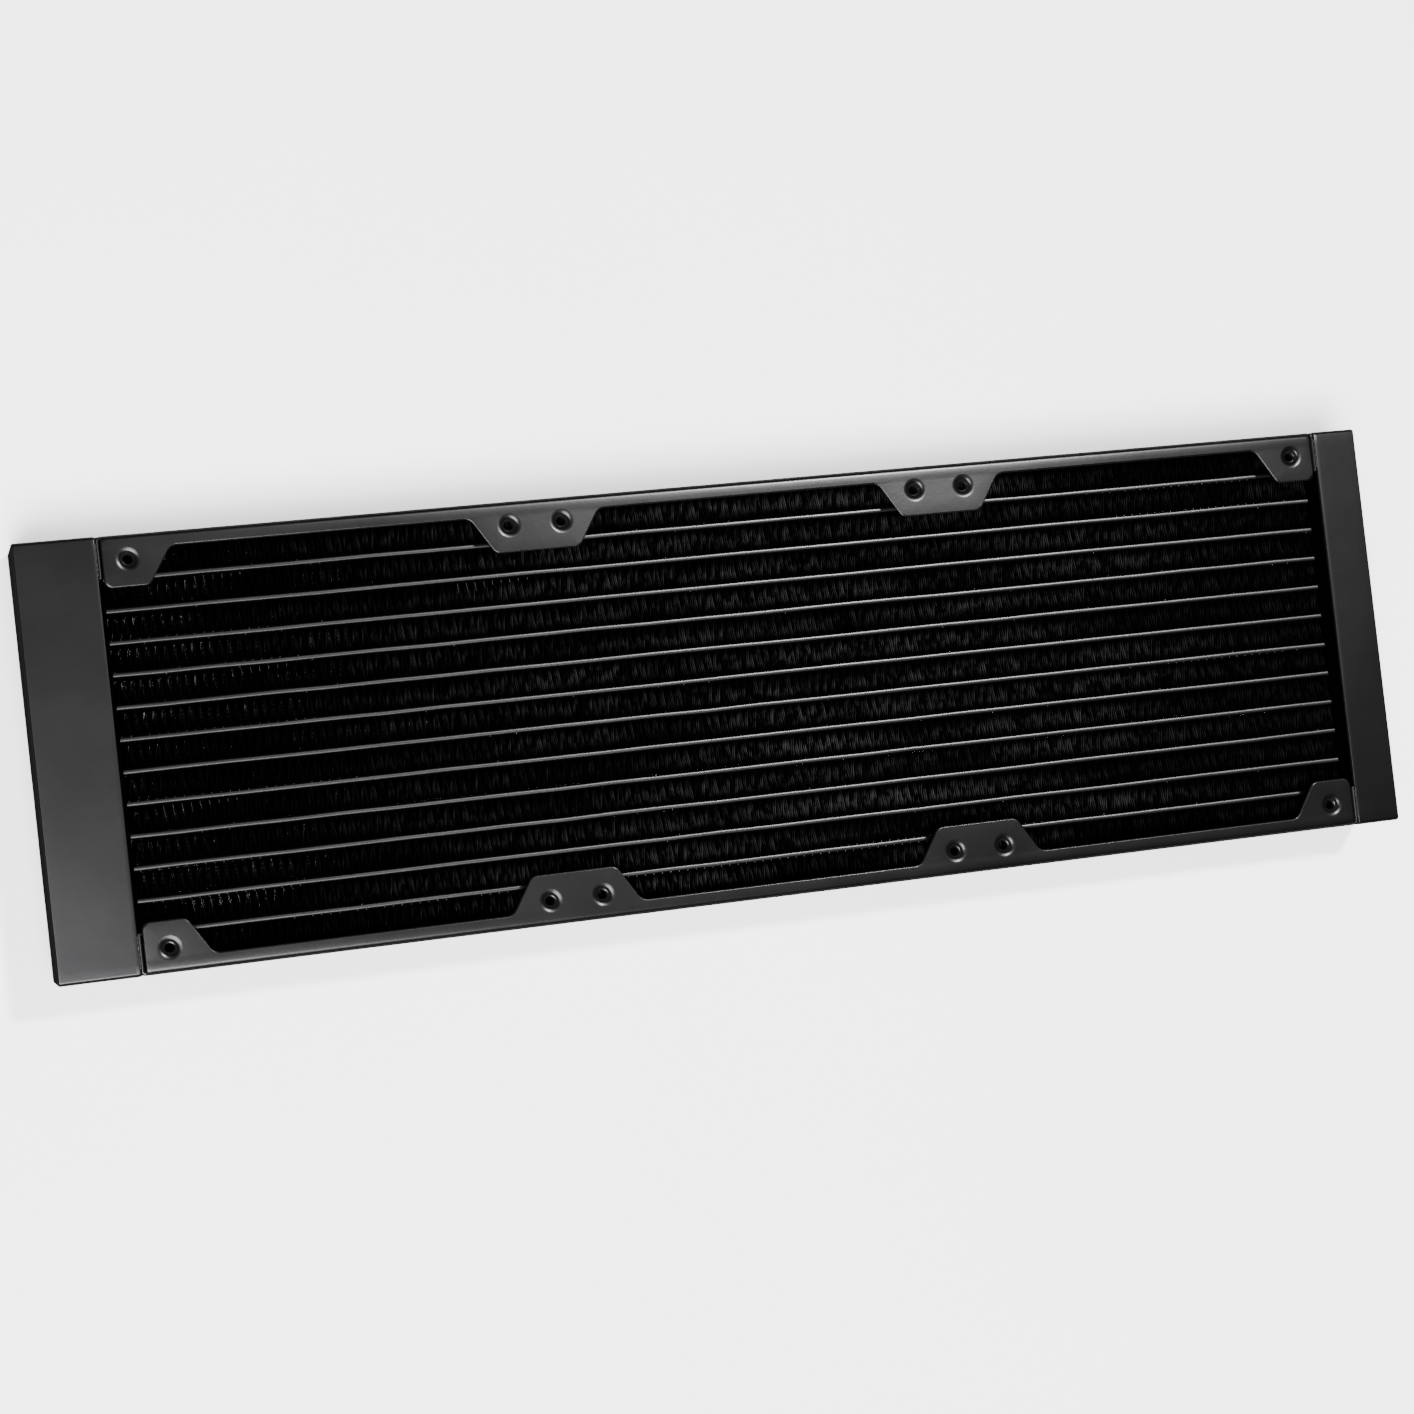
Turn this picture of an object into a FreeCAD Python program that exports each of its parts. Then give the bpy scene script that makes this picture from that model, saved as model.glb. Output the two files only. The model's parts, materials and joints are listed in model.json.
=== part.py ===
import FreeCAD, Part
import math
import os

# Slim liquid cooling radiator for three fans in a row, lying flat.
# Millimetres.  +X runs along the length toward the narrow return tank, +Y across the
# width, +Z through the thickness.  The origin is the middle of the underside.
# A wide inlet tank and a narrow return tank are joined by flat coolant tubes.
# Corrugated fins fill the gaps between the tubes, and two folded side frames with
# threaded mounting tabs close the core along its long sides.

# ---- Driving dimensions -----------------------------------------------------------

LENGTH = 397.0
WIDTH = 118.7
THICKNESS = 27.0
INLET_TANK_LENGTH = 22.0
RETURN_TANK_LENGTH = 13.5

# Fans: three 120 mm fans side by side, each held by four screws.
FAN_PITCH = 120.0
FAN_HOLE_PITCH = 105.0
FAN_COUNT = 3

# Tanks: drawn boxes, open toward the core.
TANK_WALL = 1.0
TANK_EDGE_RADIUS = 1.0
TANK_MOUTH_CHAMFER = 0.35

# Header plates: the tube area stands proud of the tank mouth, toward the core.
HEADER_SHEET = 1.2
HEADER_STEP = 1.4
HEADER_STEP_HALF_WIDTH = 55.6
HEADER_STEP_MARGIN = 4.6

# Core: flat tubes with fin strips between them.
TUBE_COUNT = 12
TUBE_PITCH = 8.73
TUBE_THICKNESS = 2.0
TUBE_WIDTH = 16.0
TUBE_WALL = 0.2
TUBE_STAND_OUT = 1.2
FIN_SHEET = 0.08
FIN_PERIODS = 144
FIN_CREST = 0.5
FIN_END_GAP = 0.35
SIDE_PLATE_SHEET = 1.0

# Side frames: folded channels, one on each long side.
FRAME_INSET = 0.05
FRAME_SHEET = 1.0
FRAME_BEND_RADIUS = 1.3
FRAME_INSIDE_RADIUS = 0.3
FLANGE_LIP = 1.9
FLANGE_WIDTH = 4.1
TAB_DEPTH = 14.3
TAB_CORNER_RADIUS = 2.4
TAB_ROOT_RADIUS = 3.0
TAB_SLANT = 6.4
MIDDLE_TAB_HALF_WIDTH = 12.1
CORNER_TAB_LENGTH = 12.1
CORNER_TAB_RADIUS = 2.1
RELIEF_GAP = 0.4
EAR_REACH = 11.7
EAR_HEIGHT = 4.4
EAR_ROOT_WIDTH = 3.5
EAR_INSIDE_RADIUS = 0.5

# Threaded holes: M3, drawn down into a collar below a pressed dimple.
SCREW_RADIUS = 1.5
COLLAR_RADIUS = 2.5
COLLAR_DEPTH = 2.6
DIMPLE_RIM_RADIUS = 3.1
DIMPLE_THROAT_RADIUS = 2.1
DIMPLE_RIM_DEPTH = 0.5
DIMPLE_DEPTH = 1.0

# Ports: G1/4 threaded bushes in the underside of the inlet tank.
PORT_SPACING = 60.0
PORT_BORE_RADIUS = 5.9
PORT_MOUTH_RADIUS = 6.7
PORT_BODY_RADIUS = 8.0
PORT_COLLAR_RADIUS = 9.2
PORT_COLLAR_HEIGHT = 1.5
PORT_HEIGHT = 8.0

DIVIDER_SHEET = 1.0

# ---- Sizes that follow from them --------------------------------------------------

CORE_LENGTH = LENGTH - INLET_TANK_LENGTH - RETURN_TANK_LENGTH
CORE_HALF = CORE_LENGTH / 2
CORE_CENTRE_X = (INLET_TANK_LENGTH - RETURN_TANK_LENGTH) / 2
MIDDLE_Z = THICKNESS / 2
TUBE_RADIUS = TUBE_THICKNESS / 2
FIN_HEIGHT = TUBE_PITCH - TUBE_THICKNESS
FRAME_OUTER_Y = WIDTH / 2 - FRAME_INSET
WEB_INNER_Y = FRAME_OUTER_Y - FRAME_SHEET
HEADER_FACE_HALF = CORE_HALF - HEADER_STEP
SIDE_PLATE_Y = (TUBE_COUNT + 1) * TUBE_PITCH / 2 - TUBE_RADIUS
TAB_END_HALF = CORE_HALF - FRAME_SHEET - RELIEF_GAP
HOLE_Y = FAN_HOLE_PITCH / 2


# ---- Helpers ----------------------------------------------------------------------

def box(low, high):
    """A box between two opposite corners."""
    size = [high[i] - low[i] for i in range(3)]
    return Part.makeBox(size[0], size[1], size[2], FreeCAD.Vector(*low))


def toward(start, end, distance):
    """The point that lies a distance from start on the way to end."""
    step = end - start
    return start + step * (distance / step.Length)


def rounded_face(points):
    """A flat face whose outline runs through (position, corner radius) pairs."""
    edges = []
    previous_end = None
    first_start = None
    count = len(points)
    for i in range(count):
        corner, radius = points[i]
        before = points[i - 1][0]
        after = points[(i + 1) % count][0]
        entry = corner
        leave = corner
        if radius > 0:
            half_angle = (before - corner).getAngle(after - corner) / 2
            setback = radius / math.tan(half_angle)
            entry = toward(corner, before, setback)
            leave = toward(corner, after, setback)
        if previous_end is not None:
            edges.append(Part.makeLine(previous_end, entry))
        if radius > 0:
            bisector = (entry + leave) * 0.5 - corner
            centre = toward(corner, corner + bisector, radius / math.sin(half_angle))
            edges.append(Part.Arc(entry, toward(centre, corner, radius), leave).toShape())
        if first_start is None:
            first_start = entry
        previous_end = leave
    edges.append(Part.makeLine(previous_end, first_start))
    return Part.Face(Part.Wire(edges))


def stadium(width, radius):
    """A flat tube's outline in the YZ plane, centred on the origin."""
    reach = width / 2 - radius
    top = FreeCAD.Vector(0, 0, reach)
    bottom = FreeCAD.Vector(0, 0, -reach)
    side = FreeCAD.Vector(0, radius, 0)
    crown = FreeCAD.Vector(0, 0, radius)
    edges = [
        Part.makeLine(bottom + side, top + side),
        Part.Arc(top + side, top + crown, top - side).toShape(),
        Part.makeLine(top - side, bottom - side),
        Part.Arc(bottom - side, bottom - crown, bottom + side).toShape(),
    ]
    return Part.Face(Part.Wire(edges))


def tube_places():
    """The Y position of every coolant tube."""
    first = -(TUBE_COUNT - 1) * TUBE_PITCH / 2
    return [first + i * TUBE_PITCH for i in range(TUBE_COUNT)]


def mirrored_x(shape):
    return shape.mirror(FreeCAD.Vector(CORE_CENTRE_X, 0, 0), FreeCAD.Vector(1, 0, 0))


def mirrored_y(shape):
    return shape.mirror(FreeCAD.Vector(0, 0, 0), FreeCAD.Vector(0, 1, 0))


def mirrored_z(shape):
    return shape.mirror(FreeCAD.Vector(0, 0, MIDDLE_Z), FreeCAD.Vector(0, 0, 1))


# ---- Tanks and what they hold -----------------------------------------------------
# These are made at the +X end, outward from the core, then mirrored for the inlet end.

def tank(length):
    """A drawn box with rounded outer edges, open toward the core."""
    mouth = CORE_CENTRE_X + CORE_HALF
    half = WIDTH / 2
    body = box((mouth, -half, 0), (mouth + length, half, THICKNESS))
    outer_edges = [e for e in body.Edges if e.BoundBox.XMax > mouth + TANK_WALL]
    body = body.makeFillet(TANK_EDGE_RADIUS, outer_edges)
    mouth_edges = [e for e in body.Edges if e.BoundBox.XMax < mouth + TANK_WALL / 2]
    body = body.makeChamfer(TANK_MOUTH_CHAMFER, mouth_edges)
    inside = box(
        (mouth - TANK_WALL, -half + TANK_WALL, TANK_WALL),
        (mouth + length - TANK_WALL, half - TANK_WALL, THICKNESS - TANK_WALL),
    )
    return body.cut(inside)


def header_plate():
    """The sheet that closes a tank's mouth and holds the tube ends in slots."""
    mouth = CORE_CENTRE_X + CORE_HALF
    face = CORE_CENTRE_X + HEADER_FACE_HALF
    half = WIDTH / 2 - TANK_WALL
    plate = box((mouth, -half, TANK_WALL), (mouth + HEADER_SHEET, half, THICKNESS - TANK_WALL))
    step = box(
        (face, -HEADER_STEP_HALF_WIDTH, HEADER_STEP_MARGIN),
        (mouth + HEADER_SHEET, HEADER_STEP_HALF_WIDTH, THICKNESS - HEADER_STEP_MARGIN),
    )
    pocket_half = HEADER_STEP_HALF_WIDTH - HEADER_SHEET
    pocket_margin = HEADER_STEP_MARGIN + HEADER_SHEET
    pocket = box(
        (face + HEADER_SHEET, -pocket_half, pocket_margin),
        (mouth + HEADER_SHEET * 2, pocket_half, THICKNESS - pocket_margin),
    )
    plate = plate.fuse(step).cut(pocket)
    slots = [
        stadium(TUBE_WIDTH, TUBE_RADIUS)
        .extrude(FreeCAD.Vector(HEADER_SHEET * 4, 0, 0))
        .translated(FreeCAD.Vector(face - HEADER_SHEET, y, MIDDLE_Z))
        for y in tube_places()
    ]
    return plate.cut(slots).removeSplitter()


def tank_divider():
    """The wall across the inlet tank that sends the coolant out and back."""
    half = DIVIDER_SHEET / 2
    header_back = CORE_CENTRE_X + CORE_HALF + HEADER_SHEET
    end_wall = CORE_CENTRE_X + CORE_HALF + INLET_TANK_LENGTH - TANK_WALL
    wall = box((header_back, -half, TANK_WALL), (end_wall, half, THICKNESS - TANK_WALL))
    tongue_margin = HEADER_STEP_MARGIN + HEADER_SHEET
    tongue = box(
        (CORE_CENTRE_X + HEADER_FACE_HALF + HEADER_SHEET, -half, tongue_margin),
        (header_back, half, THICKNESS - tongue_margin),
    )
    return mirrored_x(wall.fuse(tongue).removeSplitter())


def port_place(side):
    """The middle of a port at the underside; side is -1 or +1."""
    return FreeCAD.Vector(-LENGTH / 2 + INLET_TANK_LENGTH / 2, side * PORT_SPACING / 2, 0)


def inlet_tank():
    """The wide tank, with a round seat in its underside for each port."""
    seats = [
        Part.makeCylinder(PORT_BODY_RADIUS, TANK_WALL * 2, port_place(side))
        .translated(FreeCAD.Vector(0, 0, -TANK_WALL / 2))
        for side in (-1, 1)
    ]
    return mirrored_x(tank(INLET_TANK_LENGTH)).cut(seats)


def port(side):
    """A threaded bush, brazed into the tank with a collar inside the skin."""
    place = port_place(side)
    up = FreeCAD.Vector(0, 0, 1)
    body = Part.makeCylinder(PORT_BODY_RADIUS, PORT_HEIGHT, place)
    collar = Part.makeCylinder(PORT_COLLAR_RADIUS, PORT_COLLAR_HEIGHT, place + up * TANK_WALL)
    bore = Part.makeCylinder(PORT_BORE_RADIUS, PORT_HEIGHT, place)
    lead_in = PORT_MOUTH_RADIUS - PORT_BORE_RADIUS
    mouth = Part.makeCone(PORT_MOUTH_RADIUS, PORT_BORE_RADIUS, lead_in, place)
    return body.fuse(collar).cut([bore, mouth]).removeSplitter()


# ---- Core -------------------------------------------------------------------------

def coolant_tube(y):
    """A flat hollow tube that reaches through both header plates."""
    half_length = HEADER_FACE_HALF + HEADER_SHEET + TUBE_STAND_OUT
    outside = stadium(TUBE_WIDTH, TUBE_RADIUS)
    inside = stadium(TUBE_WIDTH - 2 * TUBE_WALL, TUBE_RADIUS - TUBE_WALL)
    tube = outside.cut(inside).extrude(FreeCAD.Vector(half_length * 2, 0, 0))
    return tube.translated(FreeCAD.Vector(CORE_CENTRE_X - half_length, y, MIDDLE_Z))


def fin_strip(y):
    """A strip folded to and fro between two tubes, with a flat crest at each fold."""
    length = 2 * (HEADER_FACE_HALF - FIN_END_GAP)
    period = (length - FIN_CREST) / FIN_PERIODS
    slope = (period / 2 - FIN_CREST + FIN_SHEET) / FIN_HEIGHT
    inset = FIN_SHEET * (1 - slope)
    start = CORE_CENTRE_X - length / 2
    low = y - FIN_HEIGHT / 2
    high = y + FIN_HEIGHT / 2
    under_side = []
    upper_side = []
    for i in range(FIN_PERIODS):
        x = start + i * period
        top_x = x + period / 2
        under_side += [
            (x, low),
            (x + FIN_CREST, low),
            (top_x + inset, high - FIN_SHEET),
            (top_x + FIN_CREST - inset, high - FIN_SHEET),
        ]
        upper_side += [
            (x + inset, low + FIN_SHEET),
            (x + FIN_CREST - inset, low + FIN_SHEET),
            (top_x, high),
            (top_x + FIN_CREST, high),
        ]
    last = start + FIN_PERIODS * period
    upper_side[0] = (start, low + FIN_SHEET)
    under_side += [(last, low), (last + FIN_CREST, low)]
    upper_side += [(last + inset, low + FIN_SHEET), (last + FIN_CREST, low + FIN_SHEET)]
    outline = under_side + upper_side[::-1]
    bottom = MIDDLE_Z - TUBE_WIDTH / 2
    corners = [FreeCAD.Vector(px, py, bottom) for px, py in outline]
    face = Part.Face(Part.makePolygon(corners + corners[:1]))
    return face.extrude(FreeCAD.Vector(0, 0, TUBE_WIDTH))


def core_side_plate():
    """A shallow channel between the outer fin strip and the +Y side frame."""
    end = CORE_HALF - FRAME_SHEET
    low_z = MIDDLE_Z - TUBE_WIDTH / 2
    high_z = MIDDLE_Z + TUBE_WIDTH / 2
    solid = box(
        (CORE_CENTRE_X - end, SIDE_PLATE_Y, low_z),
        (CORE_CENTRE_X + end, WEB_INNER_Y, high_z),
    )
    hollow = box(
        (CORE_CENTRE_X - end, SIDE_PLATE_Y + SIDE_PLATE_SHEET, low_z + SIDE_PLATE_SHEET),
        (CORE_CENTRE_X + end, WEB_INNER_Y, high_z - SIDE_PLATE_SHEET),
    )
    return solid.cut(hollow)


# ---- Side frames ------------------------------------------------------------------
# The +Y frame is made here; the -Y frame is its mirror image.

def frame_channel():
    """The web with a rounded bend into a narrow lip at the top and bottom."""
    lip = FRAME_OUTER_Y - FLANGE_LIP
    start_x = CORE_CENTRE_X - CORE_HALF
    outline = [
        (lip, 0, 0),
        (FRAME_OUTER_Y, 0, FRAME_BEND_RADIUS),
        (FRAME_OUTER_Y, THICKNESS, FRAME_BEND_RADIUS),
        (lip, THICKNESS, 0),
        (lip, THICKNESS - FRAME_SHEET, 0),
        (WEB_INNER_Y, THICKNESS - FRAME_SHEET, FRAME_INSIDE_RADIUS),
        (WEB_INNER_Y, FRAME_SHEET, FRAME_INSIDE_RADIUS),
        (lip, FRAME_SHEET, 0),
    ]
    face = rounded_face([(FreeCAD.Vector(start_x, y, z), r) for y, z, r in outline])
    return face.extrude(FreeCAD.Vector(CORE_LENGTH, 0, 0))


def tab_corners(inner_x, outer_x, end_radius):
    """Half of a tab's outline: down its slanted side and on to its end or middle."""
    edge = FRAME_OUTER_Y - TAB_DEPTH
    root = FRAME_OUTER_Y - FLANGE_WIDTH
    slant = math.copysign(TAB_SLANT, inner_x - outer_x)
    return [
        (inner_x + slant, root, TAB_ROOT_RADIUS),
        (inner_x, edge, TAB_CORNER_RADIUS),
        (outer_x, edge, end_radius),
    ]


def tabbed_flange():
    """The top flange, with a one-hole tab at each end and two-hole tabs between."""
    lip = FRAME_OUTER_Y - FLANGE_LIP
    corner_inner = TAB_END_HALF - CORNER_TAB_LENGTH
    outline = [(-TAB_END_HALF, lip, 0)]
    outline += tab_corners(-corner_inner, -TAB_END_HALF, CORNER_TAB_RADIUS)[::-1]
    for i in range(1, FAN_COUNT):
        middle = (i - FAN_COUNT / 2) * FAN_PITCH
        left = middle - MIDDLE_TAB_HALF_WIDTH
        right = middle + MIDDLE_TAB_HALF_WIDTH
        outline += tab_corners(left, right, TAB_CORNER_RADIUS)[:2]
        outline += tab_corners(right, left, TAB_CORNER_RADIUS)[:2][::-1]
    outline += tab_corners(corner_inner, TAB_END_HALF, CORNER_TAB_RADIUS)
    outline += [(TAB_END_HALF, lip, 0)]
    level = THICKNESS - FRAME_SHEET
    face = rounded_face(
        [(FreeCAD.Vector(CORE_CENTRE_X + x, y, level), r) for x, y, r in outline]
    )
    return face.extrude(FreeCAD.Vector(0, 0, FRAME_SHEET))


def end_ears():
    """The +X end flap, bent in against the tank and open around the core."""
    tip = FRAME_OUTER_Y - EAR_REACH
    root = FRAME_OUTER_Y - EAR_ROOT_WIDTH
    start_x = CORE_CENTRE_X + CORE_HALF - FRAME_SHEET
    outline = [
        (tip, 0, 0),
        (FRAME_OUTER_Y, 0, FRAME_BEND_RADIUS),
        (FRAME_OUTER_Y, THICKNESS, FRAME_BEND_RADIUS),
        (tip, THICKNESS, 0),
        (tip, THICKNESS - EAR_HEIGHT, EAR_INSIDE_RADIUS),
        (root, THICKNESS - EAR_HEIGHT, EAR_INSIDE_RADIUS),
        (root, EAR_HEIGHT, EAR_INSIDE_RADIUS),
        (tip, EAR_HEIGHT, EAR_INSIDE_RADIUS),
    ]
    face = rounded_face([(FreeCAD.Vector(start_x, y, z), r) for y, z, r in outline])
    return face.extrude(FreeCAD.Vector(FRAME_SHEET, 0, 0))


def relief_slit():
    """The gap that frees the +X end flap from the top flange."""
    start_x = CORE_CENTRE_X + TAB_END_HALF
    level = THICKNESS - FRAME_SHEET - FRAME_INSIDE_RADIUS
    return box(
        (start_x, FRAME_OUTER_Y - TAB_DEPTH, level),
        (start_x + RELIEF_GAP, WEB_INNER_Y + FRAME_SHEET / 2, THICKNESS + FRAME_SHEET),
    )


def hole_places():
    """The X positions of the fan screw holes along one edge of the core."""
    places = []
    for i in range(FAN_COUNT):
        fan_x = CORE_CENTRE_X + (i - (FAN_COUNT - 1) / 2) * FAN_PITCH
        places += [fan_x - FAN_HOLE_PITCH / 2, fan_x + FAN_HOLE_PITCH / 2]
    return places


def screw_collar(x):
    """The metal drawn down around one screw hole of the top flange."""
    top = FreeCAD.Vector(x, HOLE_Y, THICKNESS)
    down = FreeCAD.Vector(0, 0, -1)
    return Part.makeCylinder(COLLAR_RADIUS, COLLAR_DEPTH, top, down)


def screw_dimple(x):
    """The pressed dimple and threaded bore of one screw hole of the top flange."""
    top = FreeCAD.Vector(x, HOLE_Y, THICKNESS)
    down = FreeCAD.Vector(0, 0, -1)
    throat = top + down * DIMPLE_RIM_DEPTH
    rim = Part.makeCone(DIMPLE_RIM_RADIUS, DIMPLE_THROAT_RADIUS, DIMPLE_RIM_DEPTH, top, down)
    taper_depth = DIMPLE_DEPTH - DIMPLE_RIM_DEPTH
    taper = Part.makeCone(DIMPLE_THROAT_RADIUS, SCREW_RADIUS, taper_depth, throat, down)
    bore = Part.makeCylinder(SCREW_RADIUS, COLLAR_DEPTH, top, down)
    return rim.fuse([taper, bore])


def side_frame():
    """The whole +Y side frame, folded from one sheet."""
    top_parts = [tabbed_flange()] + [screw_collar(x) for x in hole_places()]
    bottom_parts = [mirrored_z(shape) for shape in top_parts]
    ears = end_ears()
    frame = frame_channel().fuse(top_parts + bottom_parts + [ears, mirrored_x(ears)])
    slit = relief_slit()
    top_cuts = [slit, mirrored_x(slit)] + [screw_dimple(x) for x in hole_places()]
    bottom_cuts = [mirrored_z(shape) for shape in top_cuts]
    return frame.cut(top_cuts + bottom_cuts).removeSplitter()


# ---- The whole part ---------------------------------------------------------------

def all_nodes():
    """Every separate piece, by name."""
    header = header_plate()
    frame = side_frame()
    side_plate = core_side_plate()
    nodes = {
        "inlet_tank": inlet_tank(),
        "return_tank": tank(RETURN_TANK_LENGTH),
        "inlet_header_plate": mirrored_x(header),
        "return_header_plate": header,
        "tank_divider": tank_divider(),
        "inlet_port": port(1),
        "outlet_port": port(-1),
        "side_frame_back": frame,
        "side_frame_front": mirrored_y(frame),
        "core_side_plate_back": side_plate,
        "core_side_plate_front": mirrored_y(side_plate),
    }
    places = tube_places()
    tube = coolant_tube(0)
    for i, y in enumerate(places):
        nodes[f"coolant_tube_{i + 1:02d}"] = tube.translated(FreeCAD.Vector(0, y, 0))
    fin = fin_strip(0)
    fin_places = [places[0] - TUBE_PITCH / 2] + [y + TUBE_PITCH / 2 for y in places]
    for i, y in enumerate(fin_places):
        nodes[f"fin_strip_{i + 1:02d}"] = fin.translated(FreeCAD.Vector(0, y, 0))
    return nodes


os.makedirs("parts", exist_ok=True)
for name, shape in all_nodes().items():
    shape.exportStep(f"parts/{name}.step")
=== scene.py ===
import json
import math
import random

import bmesh
import bpy
import numpy as np
from mathutils import Matrix, Vector
from mathutils import noise as mathutils_noise


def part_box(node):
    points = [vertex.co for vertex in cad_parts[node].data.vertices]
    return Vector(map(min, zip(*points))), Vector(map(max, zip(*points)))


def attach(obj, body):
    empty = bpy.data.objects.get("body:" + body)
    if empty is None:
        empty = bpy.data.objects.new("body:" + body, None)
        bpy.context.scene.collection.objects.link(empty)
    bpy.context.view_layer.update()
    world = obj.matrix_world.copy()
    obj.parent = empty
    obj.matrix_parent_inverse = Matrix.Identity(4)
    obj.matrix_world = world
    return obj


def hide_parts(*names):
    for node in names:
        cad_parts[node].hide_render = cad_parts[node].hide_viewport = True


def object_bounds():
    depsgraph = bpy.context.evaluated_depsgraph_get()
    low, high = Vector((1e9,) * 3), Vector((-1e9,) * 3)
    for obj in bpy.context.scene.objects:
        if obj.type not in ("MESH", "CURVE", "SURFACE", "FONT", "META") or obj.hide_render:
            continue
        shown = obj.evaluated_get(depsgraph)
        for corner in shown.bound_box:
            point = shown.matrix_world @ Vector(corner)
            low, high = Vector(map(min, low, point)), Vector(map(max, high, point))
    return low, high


# Looks of a slim liquid cooling radiator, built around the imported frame.  Metres.
# The frame lies flat, with +X toward the narrow tank and +Z up out of the shown face.

MM = 0.001
BODY = "root"

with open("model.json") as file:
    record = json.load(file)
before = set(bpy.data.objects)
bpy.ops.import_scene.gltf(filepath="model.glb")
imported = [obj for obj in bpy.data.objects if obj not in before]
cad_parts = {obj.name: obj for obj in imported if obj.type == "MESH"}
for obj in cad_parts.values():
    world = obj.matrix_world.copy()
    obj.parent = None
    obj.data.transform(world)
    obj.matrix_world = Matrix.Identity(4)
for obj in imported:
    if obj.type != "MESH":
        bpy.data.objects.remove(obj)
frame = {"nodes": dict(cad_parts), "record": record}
cad_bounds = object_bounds()

# ---- Driving sizes ---------------------------------------

TUBE_NAMES = sorted(n for n in frame["nodes"] if n.startswith("coolant_tube_"))
FIN_NAMES = sorted(n for n in frame["nodes"] if n.startswith("fin_strip_"))
MOUNTS = frame["record"]["mounts"]
PATTERNS = [mount for mount in MOUNTS if mount["name"].startswith("fan_top_")]
PORTS = [mount for mount in MOUNTS if mount["kind"] == "threaded_hole"]

# Side frames: one folded sheet each.
SHEET = 1.0 * MM
BEND_RADIUS = 1.3 * MM
BEND_STEPS = 6
CUT_EDGE_RADIUS = 0.4 * MM
FLANGE_WIDTH = 4.1 * MM
TAB_DEPTH = 14.3 * MM
TAB_CORNER_RADIUS = 2.4 * MM
TAB_ROOT_RADIUS = 3.0 * MM
TAB_SLANT = 6.4 * MM
MIDDLE_TAB_HALF_WIDTH = 12.1 * MM
CORNER_TAB_LENGTH = 12.1 * MM
CORNER_TAB_RADIUS = 2.1 * MM
RELIEF_GAP = 0.4 * MM
EAR_REACH = 11.7 * MM
EAR_HEIGHT = 4.4 * MM
EAR_ROOT_WIDTH = 3.5 * MM
EAR_CORNER_RADIUS = 0.5 * MM
CROWN_WIDTH = 1.2 * MM
CROWN_DROP = 0.028 * MM
SAG_WIDTH = 1.9 * MM
SAG_DROP = 0.021 * MM
CROWN_STEPS = 8

# Screw holes: a pressed dimple that runs down into a threaded collar.
SCREW_RADIUS = 1.5 * MM
SCREW_THREAD_PITCH = 0.5 * MM
SCREW_THREAD_DEPTH = 0.22 * MM
COLLAR_DEPTH = 2.6 * MM
DIMPLE_RADIUS = 3.5 * MM
THROAT_RADIUS = 2.25 * MM
DISH_CURVE = 0.14
THROAT_CURVE = 1.3
DIMPLE_STEPS = 16
SCREW_THREAD_START_GAP = 0.08 * MM
SCREW_THREAD_END_GAP = 0.12 * MM
DIMPLE_FOOT_GAP = 0.1 * MM
THREAD_RINGS = 20
HOLE_SEGMENTS = 48
# The outside of a collar, from its foot round into the flange: radius and depth in mm.
COLLAR_OUTSIDE = (
    (1.66, 2.60), (2.30, 2.60), (2.46, 2.53), (2.52, 2.35), (2.55, 1.90),
    (2.66, 1.55), (2.86, 1.26), (3.15, 1.07), (3.50, 1.00),
)

# Tanks: drawn boxes with round edges, open toward the core.
TANK_WALL = 1.0 * MM
TANK_EDGE_RADIUS = 1.05 * MM
TANK_END_ROUNDING = 0.65 * MM
TANK_LIP_WIDTH = 1.2 * MM
TANK_LIP_DROP = 0.03 * MM
TANK_LIP_RADIUS = 0.25 * MM
TANK_GRID = 2.4 * MM
TANK_WAVE = 0.035 * MM
TANK_WAVES_PER_METRE = 38.0
TANK_RIPPLES_PER_METRE = 90.0

# Solder beads between the side frames and the tanks.
BEAD_SPACING = 0.3 * MM
BEAD_ARC_STEPS = 8
BEAD_END_STATIONS = 4
BEAD_HALF_WIDTH = 0.5 * MM
BEAD_RISE = 0.7 * MM
BEAD_FOOT_DEPTH = 0.78 * MM
BEAD_CORNER_GAP = 0.9 * MM
BEAD_SEED = 41
UPRIGHT_BEAD_HALF_WIDTH = 0.85 * MM
UPRIGHT_BEAD_SHIFT = 0.4 * MM
UPRIGHT_BEAD_END_GAP = 0.5 * MM

# Fins: folded sheet with slanted louvres.
FIN_SHEET = 0.08 * MM
FIN_PERIODS = 144
FIN_CREST = 0.5 * MM
FIN_CROWN = 0.16 * MM
POINTS_PER_FOLD = 10
LOUVRE_ANGLE = math.radians(9)
LOUVRES_PER_BANK = 4
FLAT_BAND = 1.0 * MM
FIN_LEAN = 0.075
FIN_LEAN_DRIFT = 0.03
LEAN_STATIONS = 30
LEAN_END = 2.5 * MM
FIN_SEED = 200

# Paint drops are thick at: tube from the -Y side, side of it, from x and to x in mm.
RICH_STRETCHES = (
    (0, -1, -130, 80), (0, 1, 20, 90), (1, -1, -180, -130), (2, -1, -185, -140),
    (4, 1, -180, -110), (6, 1, -178, -120), (9, 1, -178, -130), (10, 1, 120, 178),
    (11, -1, 110, 165), (5, -1, 130, 175), (8, 1, -150, -120),
)
RICH_CHANCE = 0.9
STRAY_CHANCE = 0.03
DROP_HALF_WIDTH = 0.46 * MM
DROP_TOWARD_TUBE = 0.36 * MM
DROP_SINK = 0.12 * MM
RUN_REACH = 110 * MM
RUN_CHANCE = 0.02
RUN_RADIUS = 0.16 * MM
SHORTEST_RUN = 0.12
TOP_DROP_SEED = 31
UNDER_DROP_SEED = 32
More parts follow.
